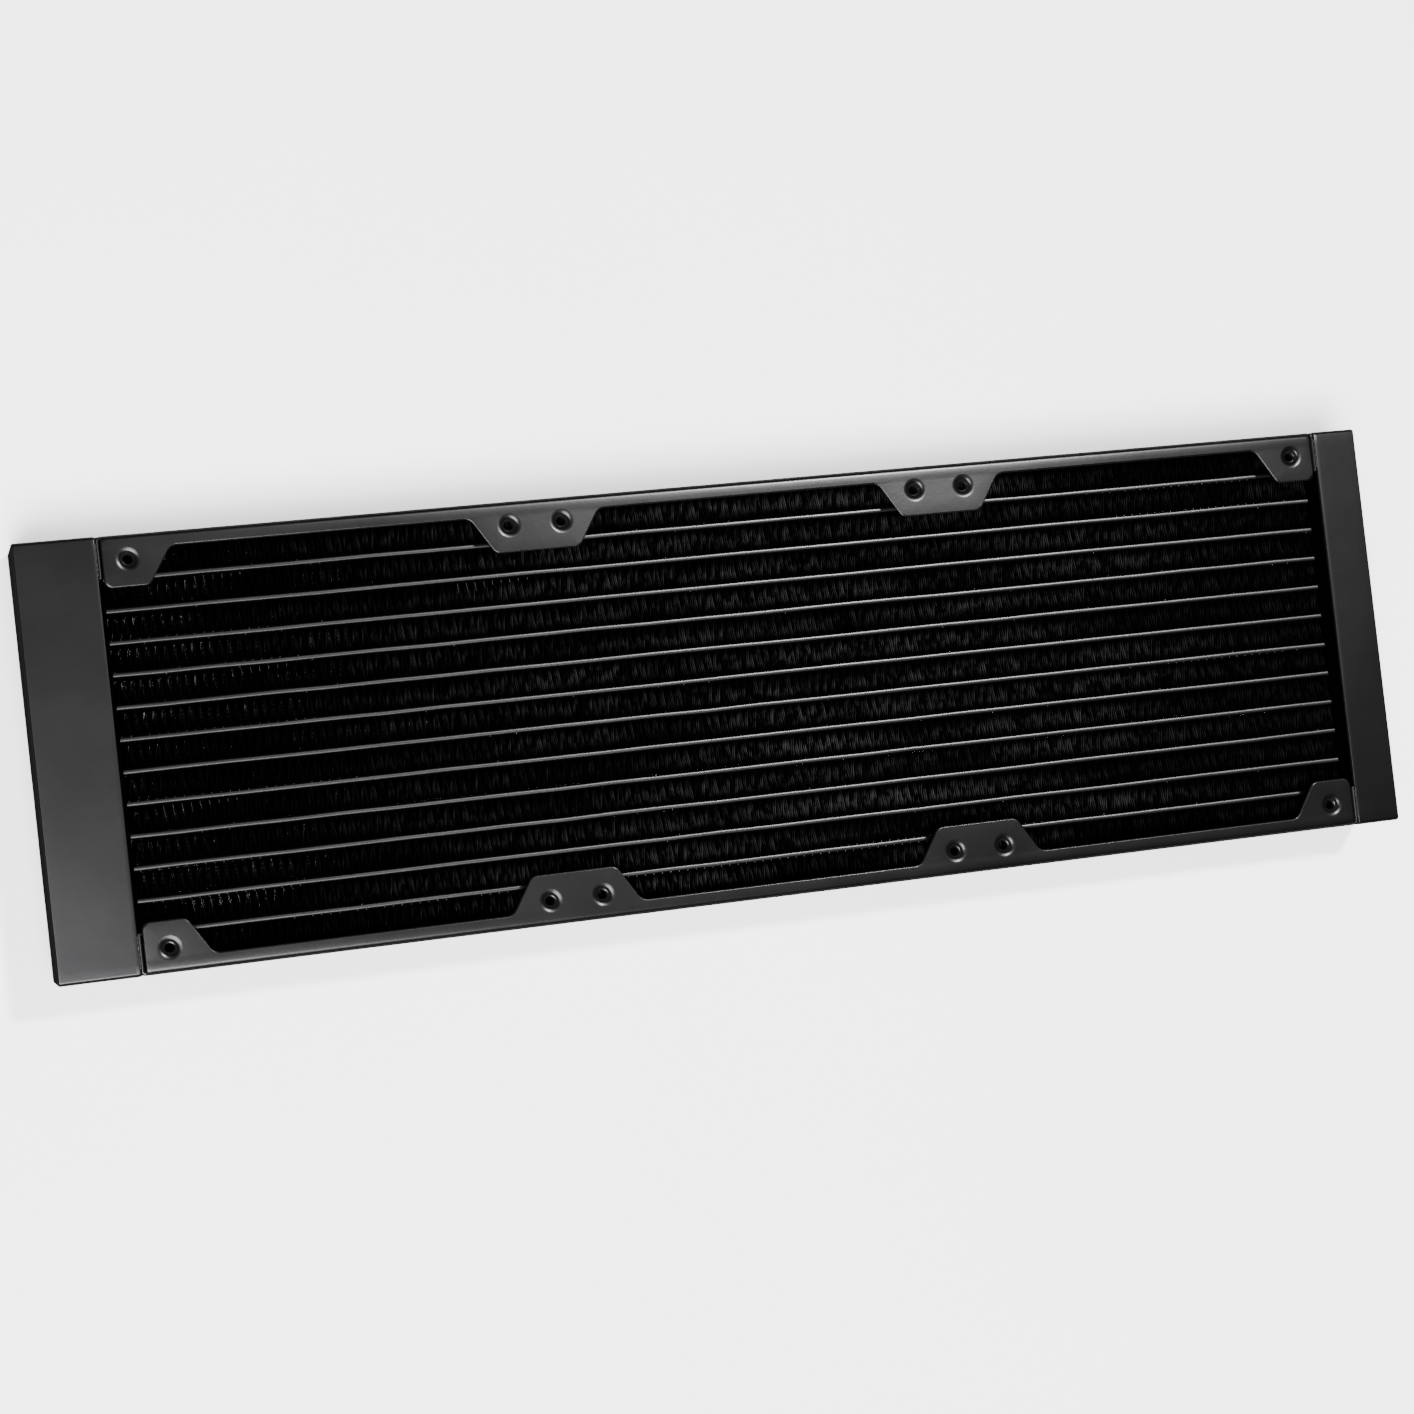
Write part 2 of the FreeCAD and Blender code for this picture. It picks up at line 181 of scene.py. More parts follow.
# Fin legs with runs: first point, last point, longest share of the leg.
RUN_LEGS = ((7, 9, 0.9), (2, 4, 0.4))

# Tubes.
TUBE_WALL = 0.2 * MM
TUBE_NOSE_STEPS = 14
TUBE_NOSE_FLATNESS = 2.5
TUBE_LENGTH_STEPS = 145
TUBE_WANDER = 0.05 * MM
TUBE_SHRINK = 0.05
WANDER_STATIONS = 25
SHRINK_STATIONS = 60
TUBE_SEED = 100

# Ports.
PORT_THREAD_PITCH = 1.337 * MM
PORT_THREAD_DEPTH = 0.68 * MM
PORT_THREAD_RINGS = 84
PORT_SEGMENTS = 72
PORT_WALL = 2.1 * MM
PORT_COLLAR_TOP = 2.5 * MM
PORT_CHAMFER = 0.2 * MM
PORT_FOOT_CHAMFER = 0.15 * MM
PORT_THREAD_END_GAP = 0.1 * MM
PORT_SEAT_GAP = 0.02 * MM
# The lip around a port's mouth: how far outside the lead-in, and how high.
PORT_LIP = ((0.35 * MM, 0.0), (0.2 * MM, 0.12 * MM))

# Paint: how much of the light a coat throws straight back.
COAT_SHINE = 0.169
# Painted light: upright walls get this grey, mottled by WALL_MOTTLE, and no shine.
WALL_GREY = 0.006
WALL_MOTTLE = 0.15

# Camera: 36 mm wide sensor, seen from above and from the side of the wide tank.
CAMERA_LENS = 74.69
CAMERA_DISTANCE = 0.8287
CAMERA_TARGET = (-0.01244, -0.00358)
CAMERA_LEAN_X = math.radians(15.33)
CAMERA_LEAN_Y = math.radians(1.35)
CAMERA_ROLL = math.radians(6.45)

FLOOR_HALF_SIZE = 6.0
FLOOR_GAP = 0.02 * MM


# ---- Small helpers ---------------------------------------

def new_piece(name, mesh_or_bmesh, replaced=()):
    """Links a mesh as a piece that rides on the body and stands for CAD nodes."""
    mesh = mesh_or_bmesh
    if isinstance(mesh, bmesh.types.BMesh):
        mesh = bpy.data.meshes.new(name)
        mesh_or_bmesh.to_mesh(mesh)
        mesh_or_bmesh.free()
    piece = bpy.data.objects.new(name, mesh)
    bpy.context.scene.collection.objects.link(piece)
    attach(piece, BODY)
    if replaced:
        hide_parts(*replaced)
    return piece


def smooth(piece, angle):
    """Smooth shading with sharp edges kept, and flat faces kept flat."""
    mesh = piece.data
    mesh.polygons.foreach_set("use_smooth", [True] * len(mesh.polygons))
    mesh.set_sharp_from_angle(angle=angle)
    weighted = piece.modifiers.new("even_normals", "WEIGHTED_NORMAL")
    weighted.keep_sharp = True
    return piece


def mesh_from_arrays(name, points, quads):
    """A mesh from numpy arrays of points and four-cornered faces."""
    mesh = bpy.data.meshes.new(name)
    mesh.vertices.add(len(points))
    mesh.vertices.foreach_set("co", points.astype(np.float32).ravel())
    mesh.loops.add(quads.size)
    mesh.loops.foreach_set("vertex_index", quads.astype(np.int32).ravel())
    mesh.polygons.add(len(quads))
    mesh.polygons.foreach_set("loop_start", np.arange(0, quads.size, 4, dtype=np.int32))
    mesh.update(calc_edges=True)
    mesh.validate()
    return mesh


def piece_from_lists(name, points, faces):
    """A smooth piece from lists of points and faces."""
    mesh = bpy.data.meshes.new(name)
    mesh.from_pydata(points, [], faces)
    bm = bmesh.new()
    bm.from_mesh(mesh)
    bmesh.ops.recalc_face_normals(bm, faces=bm.faces)
    return smooth(new_piece(name, bm), math.radians(60))


def thread_wave(phase):
    """A thread's profile, from 0 at its root to 1 at its crest, once per turn."""
    turn = phase % 1.0
    return min(1.0, max(0.0, 1.4 * (1 - abs(2 * turn - 1)) - 0.2))


# ---- Folded side frames ----------------------------------
# The sheet is laid out flat first: u runs along the length from the middle of the core,
# s up the web and over the bend onto the flange, and n is the depth below the outer face.

def rounded_loop(corners):
    """Points around an outline of (u, s, radius) corners, with an arc at each corner."""
    points = []
    count = len(corners)
    for i in range(count):
        u, s, radius = corners[i]
        corner = Vector((u, s))
        if radius == 0:
            points.append(corner)
            continue
        back = (Vector(corners[i - 1][:2]) - corner).normalized()
        ahead = (Vector(corners[(i + 1) % count][:2]) - corner).normalized()
        half = back.angle(ahead) / 2
        centre = corner + (back + ahead).normalized() * (radius / math.sin(half))
        start = corner + back * (radius / math.tan(half)) - centre
        sweep = start.angle_signed(corner + ahead * (radius / math.tan(half)) - centre)
        steps = max(3, round(abs(sweep) / math.radians(13)))
        for k in range(steps + 1):
            turned = Matrix.Rotation(-sweep * k / steps, 2) @ start
            points.append(centre + turned)
    return points


def inset(points, distance):
    """The same outline, moved sideways into the sheet."""
    moved = []
    count = len(points)
    for i in range(count):
        back = (points[i] - points[i - 1]).normalized()
        ahead = (points[(i + 1) % count] - points[i]).normalized()
        normal = Vector((-back.y - ahead.y, back.x + ahead.x)).normalized()
        stretch = max(0.5, normal.dot(Vector((-ahead.y, ahead.x))))
        moved.append(points[i] + normal * (distance / stretch))
    return moved


def edge_rings(points):
    """Rings around a cut edge, rounded over at the outer and the inner face."""
    rings = []
    for k in range(4):
        angle = math.radians(30 * k)
        shift = CUT_EDGE_RADIUS * (1 - math.sin(angle))
        depth = CUT_EDGE_RADIUS * (1 - math.cos(angle))
        rings.append((shift, depth))
    rings += [(shift, SHEET - depth) for shift, depth in reversed(rings)]
    return [[(p.x, p.y, depth) for p in inset(points, shift)] for shift, depth in rings]


def dimple_depth(radius):
    """A wide shallow dish that turns steeply down at its throat."""
    dish = (DIMPLE_RADIUS - radius) / MM
    throat = max(0.0, THROAT_RADIUS - radius) / MM
    return (DISH_CURVE * dish ** 2 + THROAT_CURVE * throat ** 2) * MM


def screw_hole_rings(u, s):
    """Rings from the outer face down the dimple and thread, and back up the collar."""
    rings = []
    for k in range(DIMPLE_STEPS + 1):
        share = k / DIMPLE_STEPS
        radius = DIMPLE_RADIUS + (SCREW_RADIUS + DIMPLE_FOOT_GAP - DIMPLE_RADIUS) * share
        rings.append((radius, dimple_depth(radius), 0.0))
    thread_top = rings[-1][1] + SCREW_THREAD_START_GAP
    thread_end = COLLAR_DEPTH - SCREW_THREAD_END_GAP
    for k in range(THREAD_RINGS + 1):
        depth = thread_top + (thread_end - thread_top) * k / THREAD_RINGS
        rings.append((SCREW_RADIUS, depth, SCREW_THREAD_DEPTH))
    rings += [(radius * MM, depth * MM, 0.0) for radius, depth in COLLAR_OUTSIDE]
    loops = []
    for radius, depth, thread in rings:
        loop = []
        for k in range(HOLE_SEGMENTS):
            turn = k / HOLE_SEGMENTS
            wave = thread * thread_wave(depth / SCREW_THREAD_PITCH - turn)
            angle = -2 * math.pi * turn
            reach = radius - wave
            loop.append((u + reach * math.cos(angle), s + reach * math.sin(angle), depth))
        loops.append(loop)
    return loops


def frame_measures():
    """Where the +Y side frame's bends, flanges and ends are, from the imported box."""
    low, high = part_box("side_frame_back")
    half_web = (high.z - low.z) / 2 - BEND_RADIUS
    arc = BEND_RADIUS * math.pi / 2
    half_length = (high.x - low.x) / 2
    return {
        "middle_u": (low.x + high.x) / 2,
        "middle_z": (low.z + high.z) / 2,
        "outer_y": high.y,
        "half_web": half_web,
        "arc": arc,
        "fold_u": half_length - BEND_RADIUS,
        "tab_end": half_length - SHEET - RELIEF_GAP,
    }


def flange_s(sizes, inward):
    """The laid-out s of a point on the flange, inward from the frame's outer side."""
    return sizes["half_web"] + sizes["arc"] + inward - BEND_RADIUS


def frame_outline(sizes):
    """One quarter after another, the outline of the laid-out sheet."""
    root = flange_s(sizes, FLANGE_WIDTH)
    edge = flange_s(sizes, TAB_DEPTH)
    tab_end = sizes["tab_end"]
    inner = tab_end - CORNER_TAB_LENGTH
    spacing = PATTERNS[1]["pos_m"][0] - PATTERNS[0]["pos_m"][0]
    middle = spacing / 2
    bend = sizes["half_web"]
    ear_top = bend + BEND_RADIUS
    ear_low = ear_top - EAR_HEIGHT
    ear_foot = sizes["fold_u"] + sizes["arc"] + EAR_ROOT_WIDTH - BEND_RADIUS
    ear_tip = sizes["fold_u"] + sizes["arc"] + EAR_REACH - BEND_RADIUS
    ear_start = tab_end + RELIEF_GAP + SHEET / 10
    quarter = [
        (middle - MIDDLE_TAB_HALF_WIDTH - TAB_SLANT, root, TAB_ROOT_RADIUS),
        (middle - MIDDLE_TAB_HALF_WIDTH, edge, TAB_CORNER_RADIUS),
        (middle + MIDDLE_TAB_HALF_WIDTH, edge, TAB_CORNER_RADIUS),
        (middle + MIDDLE_TAB_HALF_WIDTH + TAB_SLANT, root, TAB_ROOT_RADIUS),
        (inner - TAB_SLANT, root, TAB_ROOT_RADIUS),
        (inner, edge, TAB_CORNER_RADIUS),
        (tab_end, edge, CORNER_TAB_RADIUS),
        (tab_end, bend, 0),
        (ear_start, bend, 0),
        (ear_start, ear_top, 0),
        (ear_tip, ear_top, EAR_CORNER_RADIUS),
        (ear_tip, ear_low, EAR_CORNER_RADIUS),
        (ear_foot, ear_low, EAR_CORNER_RADIUS),
    ]
    mirrored_s = [(u, -s, r) for u, s, r in reversed(quarter)]
    right = quarter + mirrored_s
    left = [(-u, s, r) for u, s, r in reversed(right)]
    return (right + left)[::-1]


def crown_drop(sizes, across):
    """How far the flange falls away on both sides of the low crest beside its bend."""
    inward = sizes["outer_y"] - BEND_RADIUS - across
    outside = max(0.0, 1.0 - inward / CROWN_WIDTH)
    inside = min(1.0, max(0.0, (inward - CROWN_WIDTH) / SAG_WIDTH))
    return CROWN_DROP * outside ** 2 + SAG_DROP * inside ** 2 * (3 - 2 * inside)


def folded(sizes, u, s, n):
    """Where a point of the laid-out sheet goes once the sheet is folded."""
    across = sizes["outer_y"] - n
    up = s
    along = u
    over_end = abs(u) - sizes["fold_u"]
    over_web = abs(s) - sizes["half_web"]
    if over_end > 0:
        angle = min(over_end, sizes["arc"]) / BEND_RADIUS
        rest = max(0.0, over_end - sizes["arc"])
        reach = BEND_RADIUS - n
        along = math.copysign(sizes["fold_u"] + reach * math.sin(angle), u)
        across = sizes["outer_y"] - BEND_RADIUS + reach * math.cos(angle) - rest
    elif over_web > 0:
        angle = min(over_web, sizes["arc"]) / BEND_RADIUS
        rest = max(0.0, over_web - sizes["arc"])
        reach = BEND_RADIUS - n
        up = math.copysign(sizes["half_web"] + reach * math.sin(angle), s)
        across = sizes["outer_y"] - BEND_RADIUS + reach * math.cos(angle) - rest
    up -= math.copysign(crown_drop(sizes, across) * min(1.0, abs(up) / sizes["half_web"]), up)
    return Vector((sizes["middle_u"] + along, across, sizes["middle_z"] + up))


def sheet_mesh(loops_of_rings):
    """A flat sheet from rings around each boundary, filled on its two faces."""
    bm = bmesh.new()
    first_edges = []
    last_edges = []
    for rings in loops_of_rings:
        verts = [[bm.verts.new((u, s, -n)) for u, s, n in ring] for ring in rings]
        count = len(verts[0])
        for above, below in zip(verts, verts[1:]):
            for k in range(count):
                nxt = (k + 1) % count
                bm.faces.new((above[k], above[nxt], below[nxt], below[k]))
        for ring, edges in ((verts[0], first_edges), (verts[-1], last_edges)):
            for k in range(count):
                edges.append(bm.edges.get((ring[k], ring[(k + 1) % count])))
    for edges in (first_edges, last_edges):
        bmesh.ops.triangle_fill(bm, use_beauty=True, edges=edges)
    return bm


def cut_along(bm, axis, position):
    """Adds edges across the whole sheet, so that it can bend there."""
    normal = Vector((0, 0, 0))
    normal[axis] = 1
    geometry = list(bm.verts) + list(bm.edges) + list(bm.faces)
    bmesh.ops.bisect_plane(bm, geom=geometry, dist=1e-7, plane_co=normal * position,
                           plane_no=normal)


def side_frame(name, node, mirror):
    """A side frame, folded from its laid-out sheet."""
    sizes = frame_measures()
    loops = [edge_rings(rounded_loop(frame_outline(sizes)))]
    hole_y = PATTERNS[0]["dims"]["spacing_y_mm"] * MM / 2
    hole_s = flange_s(sizes, sizes["outer_y"] - hole_y)
    for pattern in PATTERNS:
        half = pattern["dims"]["spacing_x_mm"] * MM / 2
        for u in (pattern["pos_m"][0] - half, pattern["pos_m"][0] + half):
            for s in (hole_s, -hole_s):
                loops.append(screw_hole_rings(u - sizes["middle_u"], s))
    bm = sheet_mesh(loops)
    for k in range(BEND_STEPS + 1):
        step = sizes["arc"] * k / BEND_STEPS
        for sign in (-1, 1):
            cut_along(bm, 1, sign * (sizes["half_web"] + step))
            cut_along(bm, 0, sign * (sizes["fold_u"] + step))
    for k in range(1, CROWN_STEPS + 1):
        step = sizes["arc"] + (CROWN_WIDTH + SAG_WIDTH) * k / CROWN_STEPS
        for sign in (-1, 1):
            cut_along(bm, 1, sign * (sizes["half_web"] + step))
    for vert in bm.verts:
        vert.co = folded(sizes, vert.co.x, vert.co.y, -vert.co.z)
        if mirror:
            vert.co.y = -vert.co.y
    bmesh.ops.recalc_face_normals(bm, faces=bm.faces)
    return smooth(new_piece(name, bm, [node]), math.radians(40))


# ---- Tanks -----------------------------------------------
# A tank is swept from rings.  Each ring is one inner rectangle, grown outward by a reach.

def even_steps(low, high, spacing):
    return np.linspace(low, high, max(2, round(abs(high - low) / spacing) + 1))


def rectangle_ring(ys, zs):
    """Places around a rectangle, and the outward direction at each one."""
    places = []
    outward = []
    sides = [
        ([(y, zs[-1]) for y in ys], 90), ([(ys[-1], z) for z in zs[::-1]], 0),
        ([(y, zs[0]) for y in ys[::-1]], -90), ([(ys[0], z) for z in zs], -180),
    ]
    for side, angle in sides:
        for place in side:
            places.append(place)
            outward.append(angle)
        for turn in (18, 36, 54, 72):
            places.append(side[-1])
            outward.append(angle - turn)
    angles = np.radians(outward)
    return np.array(places), np.column_stack([np.cos(angles), np.sin(angles)])


def tank_profile(length):
    """(distance from the mouth, reach) pairs, from the end wall round to its inside."""
    edge = TANK_EDGE_RADIUS
    end = TANK_END_ROUNDING
    profile = [(length, 0.0)]
    for k in range(7):
        angle = math.pi / 2 * (1 - k / 6)
        profile.append((length - end + end * math.sin(angle), edge - end + end * math.cos(angle)))
    profile += [(d, edge) for d in even_steps(length - end, TANK_LIP_WIDTH, TANK_GRID)[1:]]
    lip = TANK_LIP_RADIUS
    for k in range(1, 7):
        drop = TANK_LIP_DROP * (k / 6) ** 2
        profile.append((TANK_LIP_WIDTH + (lip - TANK_LIP_WIDTH) * k / 6, edge - drop))
    for k in range(1, 5):
        angle = math.pi / 2 * k / 4
        reach = edge - TANK_LIP_DROP - lip + lip * math.cos(angle)
        profile.append((lip - lip * math.sin(angle), reach))
    inner = edge - TANK_WALL
    profile += [(d, inner) for d in even_steps(0.0, length - TANK_WALL - inner, TANK_GRID)]
    profile.append((length - TANK_WALL, 0.0))
    return profile


def cap(x, ys, zs):
    """A flat grid across the end of a tank."""
    places = np.array([(x, y, z) for y in ys for z in zs])
    index = np.arange(len(places)).reshape(len(ys), len(zs))
    quads = np.stack([index[:-1, :-1], index[1:, :-1], index[1:, 1:], index[:-1, 1:]], -1)
    return places, quads.reshape(-1, 4)


def tank(node, mouth_is_high):
    """A drawn tank with round edges and slightly uneven faces."""
    low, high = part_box(node)
    mouth, direction = (high.x, -1) if mouth_is_high else (low.x, 1)
    edge = TANK_EDGE_RADIUS
    ys = even_steps(low.y + edge, high.y - edge, TANK_GRID)
    zs = even_steps(low.z + edge, high.z - edge, TANK_GRID)
    places, outward = rectangle_ring(ys, zs)
    profile = tank_profile(high.x - low.x)
    points = []
    for distance, reach in profile:
        ring = places + outward * reach
        points.append(np.column_stack([np.full(len(ring), mouth + direction * distance), ring]))
    size = len(places)
    k = np.arange(size)
    nxt = (k + 1) % size
    quads = []
    for i in range(len(profile) - 1):
        a = i * size
        quads.append(np.column_stack([a + k, a + nxt, a + size + nxt, a + size + k]))
    base = size * len(profile)
    for distance in (profile[0][0], profile[-1][0]):
        grid, faces = cap(mouth + direction * distance, ys, zs)
        points.append(grid)
        quads.append(faces + base)
        base += len(grid)
    bm = bmesh.new()
    bm.from_mesh(mesh_from_arrays(node, np.concatenate(points), np.concatenate(quads)))
    bmesh.ops.remove_doubles(bm, verts=bm.verts, dist=1e-6)
    bmesh.ops.recalc_face_normals(bm, faces=bm.faces)
    bm.normal_update()
    for vert in bm.verts:
        wave = mathutils_noise.noise(vert.co * TANK_WAVES_PER_METRE)
        ripple = mathutils_noise.noise(vert.co * TANK_RIPPLES_PER_METRE)
        vert.co += vert.normal * ((wave + ripple / 3) * TANK_WAVE)
    return smooth(new_piece(node + "_drawn", bm, [node]), math.radians(40))


def cut_port_seats(piece):
    """Round holes through the underside of the wide tank for its ports."""
    for mount in PORTS:
        low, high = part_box(mount["name"])
        radius = mount["dims"]["r_mm"] * MM + PORT_WALL + PORT_SEAT_GAP
        bm = bmesh.new()
        bmesh.ops.create_cone(bm, cap_ends=True, segments=96, radius1=radius,
                              radius2=radius, depth=TANK_WALL * 3)
        bmesh.ops.translate(bm, verts=bm.verts,
                            vec=((low.x + high.x) / 2, (low.y + high.y) / 2, low.z))
        mesh = bpy.data.meshes.new("seat_cutter")
        bm.to_mesh(mesh)
        bm.free()
        cutter = bpy.data.objects.new("seat_cutter", mesh)
        bpy.context.scene.collection.objects.link(cutter)
        cut = piece.modifiers.new("seat", "BOOLEAN")
        cut.object = cutter
        bpy.context.view_layer.update()
        graph = bpy.context.evaluated_depsgraph_get()
        piece.modifiers.remove(piece.modifiers["even_normals"])
        cut_mesh = bpy.data.meshes.new_from_object(piece.evaluated_get(graph))
        piece.modifiers.clear()
        piece.data = cut_mesh
        bpy.data.objects.remove(cutter)
        smooth(piece, math.radians(40))


def seam_bead(x, y_start, y_end, crest, face, rng, half_width=BEAD_HALF_WIDTH):
    """Points and faces of an uneven half-round bead that fills a groove along Y."""
    stations = max(6, round(abs(y_end - y_start) / BEAD_SPACING))
    across = BEAD_ARC_STEPS + 1
    points = []
    faces = []
    for i in range(stations + 1):
        y = y_start + (y_end - y_start) * i / stations
        taper = min(1.0, i / BEAD_END_STATIONS, (stations - i) / BEAD_END_STATIONS)
        half = half_width + rng.uniform(-0.07, 0.07) * MM
        rise = (BEAD_RISE + rng.uniform(-0.05, 0.05) * MM) * taper
        shift = rng.uniform(-0.05, 0.05) * MM
        for k in range(across):
            angle = math.pi * k / BEAD_ARC_STEPS
            z = crest - face * (BEAD_FOOT_DEPTH - rise * math.sin(angle))
            points.append((x + shift + half * math.cos(angle), y, z))
    for i in range(stations):
        for k in range(BEAD_ARC_STEPS):
            a = i * across + k
            faces.append((a, a + 1, a + across + 1, a + across))
    return points, faces


def join(points, faces, new_points, new_faces):
    """Adds a small shape to the points and faces collected so far."""
    base = len(points)
    points += new_points
    faces += [tuple(base + corner for corner in loop) for loop in new_faces]


def frame_seams(name):
    """Solder in the grooves where the side frames meet the two tanks."""
    rng = random.Random(BEAD_SEED)
    points = []
    faces = []
    frame_low, frame_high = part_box("side_frame_back")
    outer = frame_high.y - BEAD_CORNER_GAP
    inner = frame_high.y - EAR_REACH
    upright_start = frame_low.z + UPRIGHT_BEAD_END_GAP
    upright_end = frame_high.z - UPRIGHT_BEAD_END_GAP
    for x in (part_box("inlet_tank")[1].x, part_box("return_tank")[0].x):
        for crest, face in ((frame_high.z, 1), (frame_low.z, -1)):
            for side in (-1, 1):
                bead_points, bead_faces = seam_bead(
                    x, side * outer, side * inner, crest, face, rng)
                join(points, faces, bead_points, bead_faces)
        groove_x = x - math.copysign(UPRIGHT_BEAD_SHIFT, x)
        for side in (-1, 1):
            bead_points, bead_faces = seam_bead(
                groove_x, upright_start, upright_end, frame_high.y, 1, rng,
                UPRIGHT_BEAD_HALF_WIDTH)
            upright = [(px, side * outward, up) for px, up, outward in bead_points]
            join(points, faces, upright, bead_faces)
    return piece_from_lists(name, points, faces)


# ---- Core ------------------------------------------------

def fin_path(low, high, rng):
    """Points along one folded strip as (x, y, twist share), crest after crest.

    A fold is ten points: a low crest (0 to 2), a leg up (3, 4), a high crest (5 to 7)
    and a leg down (8, 9).
    """
    length = high.x - low.x
    period = (length - FIN_CREST) / FIN_PERIODS
    low_y = low.y + FIN_SHEET / 2
    high_y = high.y - FIN_SHEET / 2
    rise = high_y - low_y
    path = []
    for i in range(FIN_PERIODS * 2 + 1):
        x = low.x + i * period / 2 + rng.uniform(-0.05, 0.05) * MM
        x = min(max(x, low.x), high.x - FIN_CREST)
        at_top = i % 2 == 1
        crest_y = high_y if at_top else low_y
        inward = -FIN_CROWN if at_top else FIN_CROWN
        path.append((x, crest_y + inward, 0.0))
        path.append((x + FIN_CREST / 2, crest_y, 0.0))
        path.append((x + FIN_CREST, crest_y + inward, 0.0))
        if i < FIN_PERIODS * 2:
            run = period / 2 - FIN_CREST
            direction = -1 if at_top else 1
            for share in (0.13, 0.87):
                bow = rng.uniform(-0.09, 0.09) * MM
                y = crest_y + direction * rise * share
                path.append((x + FIN_CREST + run * share + bow, y, 1.0))
    return np.array(path)


def fin_lean(x, low, high, seed):
    """How far folds at x slant along the strip, as a slope that drifts from place to place."""
    rng = np.random.default_rng(seed)
    stations = np.linspace(low.x, high.x, LEAN_STATIONS)
    drift = rng.normal(FIN_LEAN, FIN_LEAN_DRIFT, LEAN_STATIONS)
    from_end = np.minimum(x - low.x, high.x - x)
    return np.interp(x, stations, drift) * np.clip(from_end / LEAN_END, 0.0, 1.0)


def louvre_bands(depth):
    """(middle, width, twist angle) of each band across a strip's depth."""
    louvre = (depth - 3 * FLAT_BAND) / (2 * LOUVRES_PER_BANK)
    bands = [(FLAT_BAND / 2, FLAT_BAND, 0.0)]
    edge = FLAT_BAND
    for angle in (LOUVRE_ANGLE, -LOUVRE_ANGLE):
        for _ in range(LOUVRES_PER_BANK):
            bands.append((edge + louvre / 2, louvre, angle))
            edge += louvre
        bands.append((edge + FLAT_BAND / 2, FLAT_BAND, 0.0))
        edge += FLAT_BAND
    return bands


def fin_strip(node, seed):
    """A fin strip as folded ribbons, each twisted open into louvres on its legs."""
    low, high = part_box(node)
    path = fin_path(low, high, random.Random(seed))
    ahead = np.roll(path[:, :2], -1, axis=0) - path[:, :2]
    ahead[-1] = ahead[-2]
    behind = np.roll(ahead, 1, axis=0)
    behind[0] = ahead[0]
    unit = ahead / np.linalg.norm(ahead, axis=1)[:, None]
    unit_behind = behind / np.linalg.norm(behind, axis=1)[:, None]
    tangent = unit + unit_behind
    tangent /= np.linalg.norm(tangent, axis=1)[:, None]
    normal = np.stack([-tangent[:, 1], tangent[:, 0]], axis=1)
    lean = fin_lean(path[:, 0], low, high, seed)
    points = []
    quads = []
    count = len(path)
    for middle, width, angle in louvre_bands(high.z - low.z):
        twist = angle * path[:, 2]
        sine = np.sin(twist)[:, None]
        cosine = np.cos(twist)[:, None]
        base = len(points) * count
        for side, face in ((-1, -1), (1, -1), (1, 1), (-1, 1)):
            half = side * width / 2
            skin = face * FIN_SHEET / 2
            flat = path[:, :2] + normal * (half * sine + skin * cosine)
            height = middle + half * cosine[:, 0] - skin * sine[:, 0]
            flat[:, 0] += lean * (height - (high.z - low.z) / 2)
            points.append(np.column_stack([flat, low.z + height]))
        first = np.arange(count - 1)
        for k in range(4):
            a = base + k * count + first
            b = base + ((k + 1) % 4) * count + first
            quads.append(np.column_stack([a, a + 1, b + 1, b]))
        for end in (0, count - 1):
            corners = [base + k * count + end for k in range(4)]
            quads.append(np.array([corners if end else corners[::-1]]))
    mesh = mesh_from_arrays(node + "_folded", np.concatenate(points), np.concatenate(quads))
    return new_piece(node + "_folded", mesh, [node])


def paint_drop(x, y, z, size, side, face):
    """A drop of paint that bridges a fin crest and the round nose of a tube."""
    middle = y + side * DROP_TOWARD_TUBE
    points = [(x, middle, z)]
    faces = []
    for reach, fall in ((0.5, 0.08), (0.85, 0.35), (1.0, 1.0)):
        for k in range(8):
            angle = 2 * math.pi * k / 8
            points.append((
                x + size * reach * math.cos(angle),
                middle + DROP_HALF_WIDTH * reach * math.sin(angle),
                z - face * size * fall,
            ))
    for k in range(8):
        nxt = (k + 1) % 8
        faces.append((0, 1 + k, 1 + nxt))
        for ring in (1, 9):
            faces.append((ring + k, ring + 8 + k, ring + 8 + nxt, ring + nxt))
    return points, faces


def paint_run(start, end, z, radius, face):
    """A tapering half-round run of paint along the edge of a fin leg."""
    points = []
    faces = []
    ahead = (end - start).normalized()
    side = Vector((-ahead.y, ahead.x))
    for i in range(5):
        width = radius * (1.0, 1.0, 0.85, 0.6, 0.1)[i]
        place = start.lerp(end, i / 4)
        for k in range(5):
            angle = math.pi * k / 4
            spot = place + side * (width * math.cos(angle))
            points.append((spot.x, spot.y, z + face * width * math.sin(angle)))
    for i in range(4):
        for k in range(4):
            a = i * 5 + k
            faces.append((a, a + 1, a + 6, a + 5))
    return points, faces


def drop_share(tube, side, x):
    """How likely a fin crest is to carry a drop of paint: high on some stretches."""
    for rich_tube, rich_side, start, end in RICH_STRETCHES:
        if tube == rich_tube and side == rich_side and start < x / MM < end:
            return RICH_CHANCE
    return STRAY_CHANCE


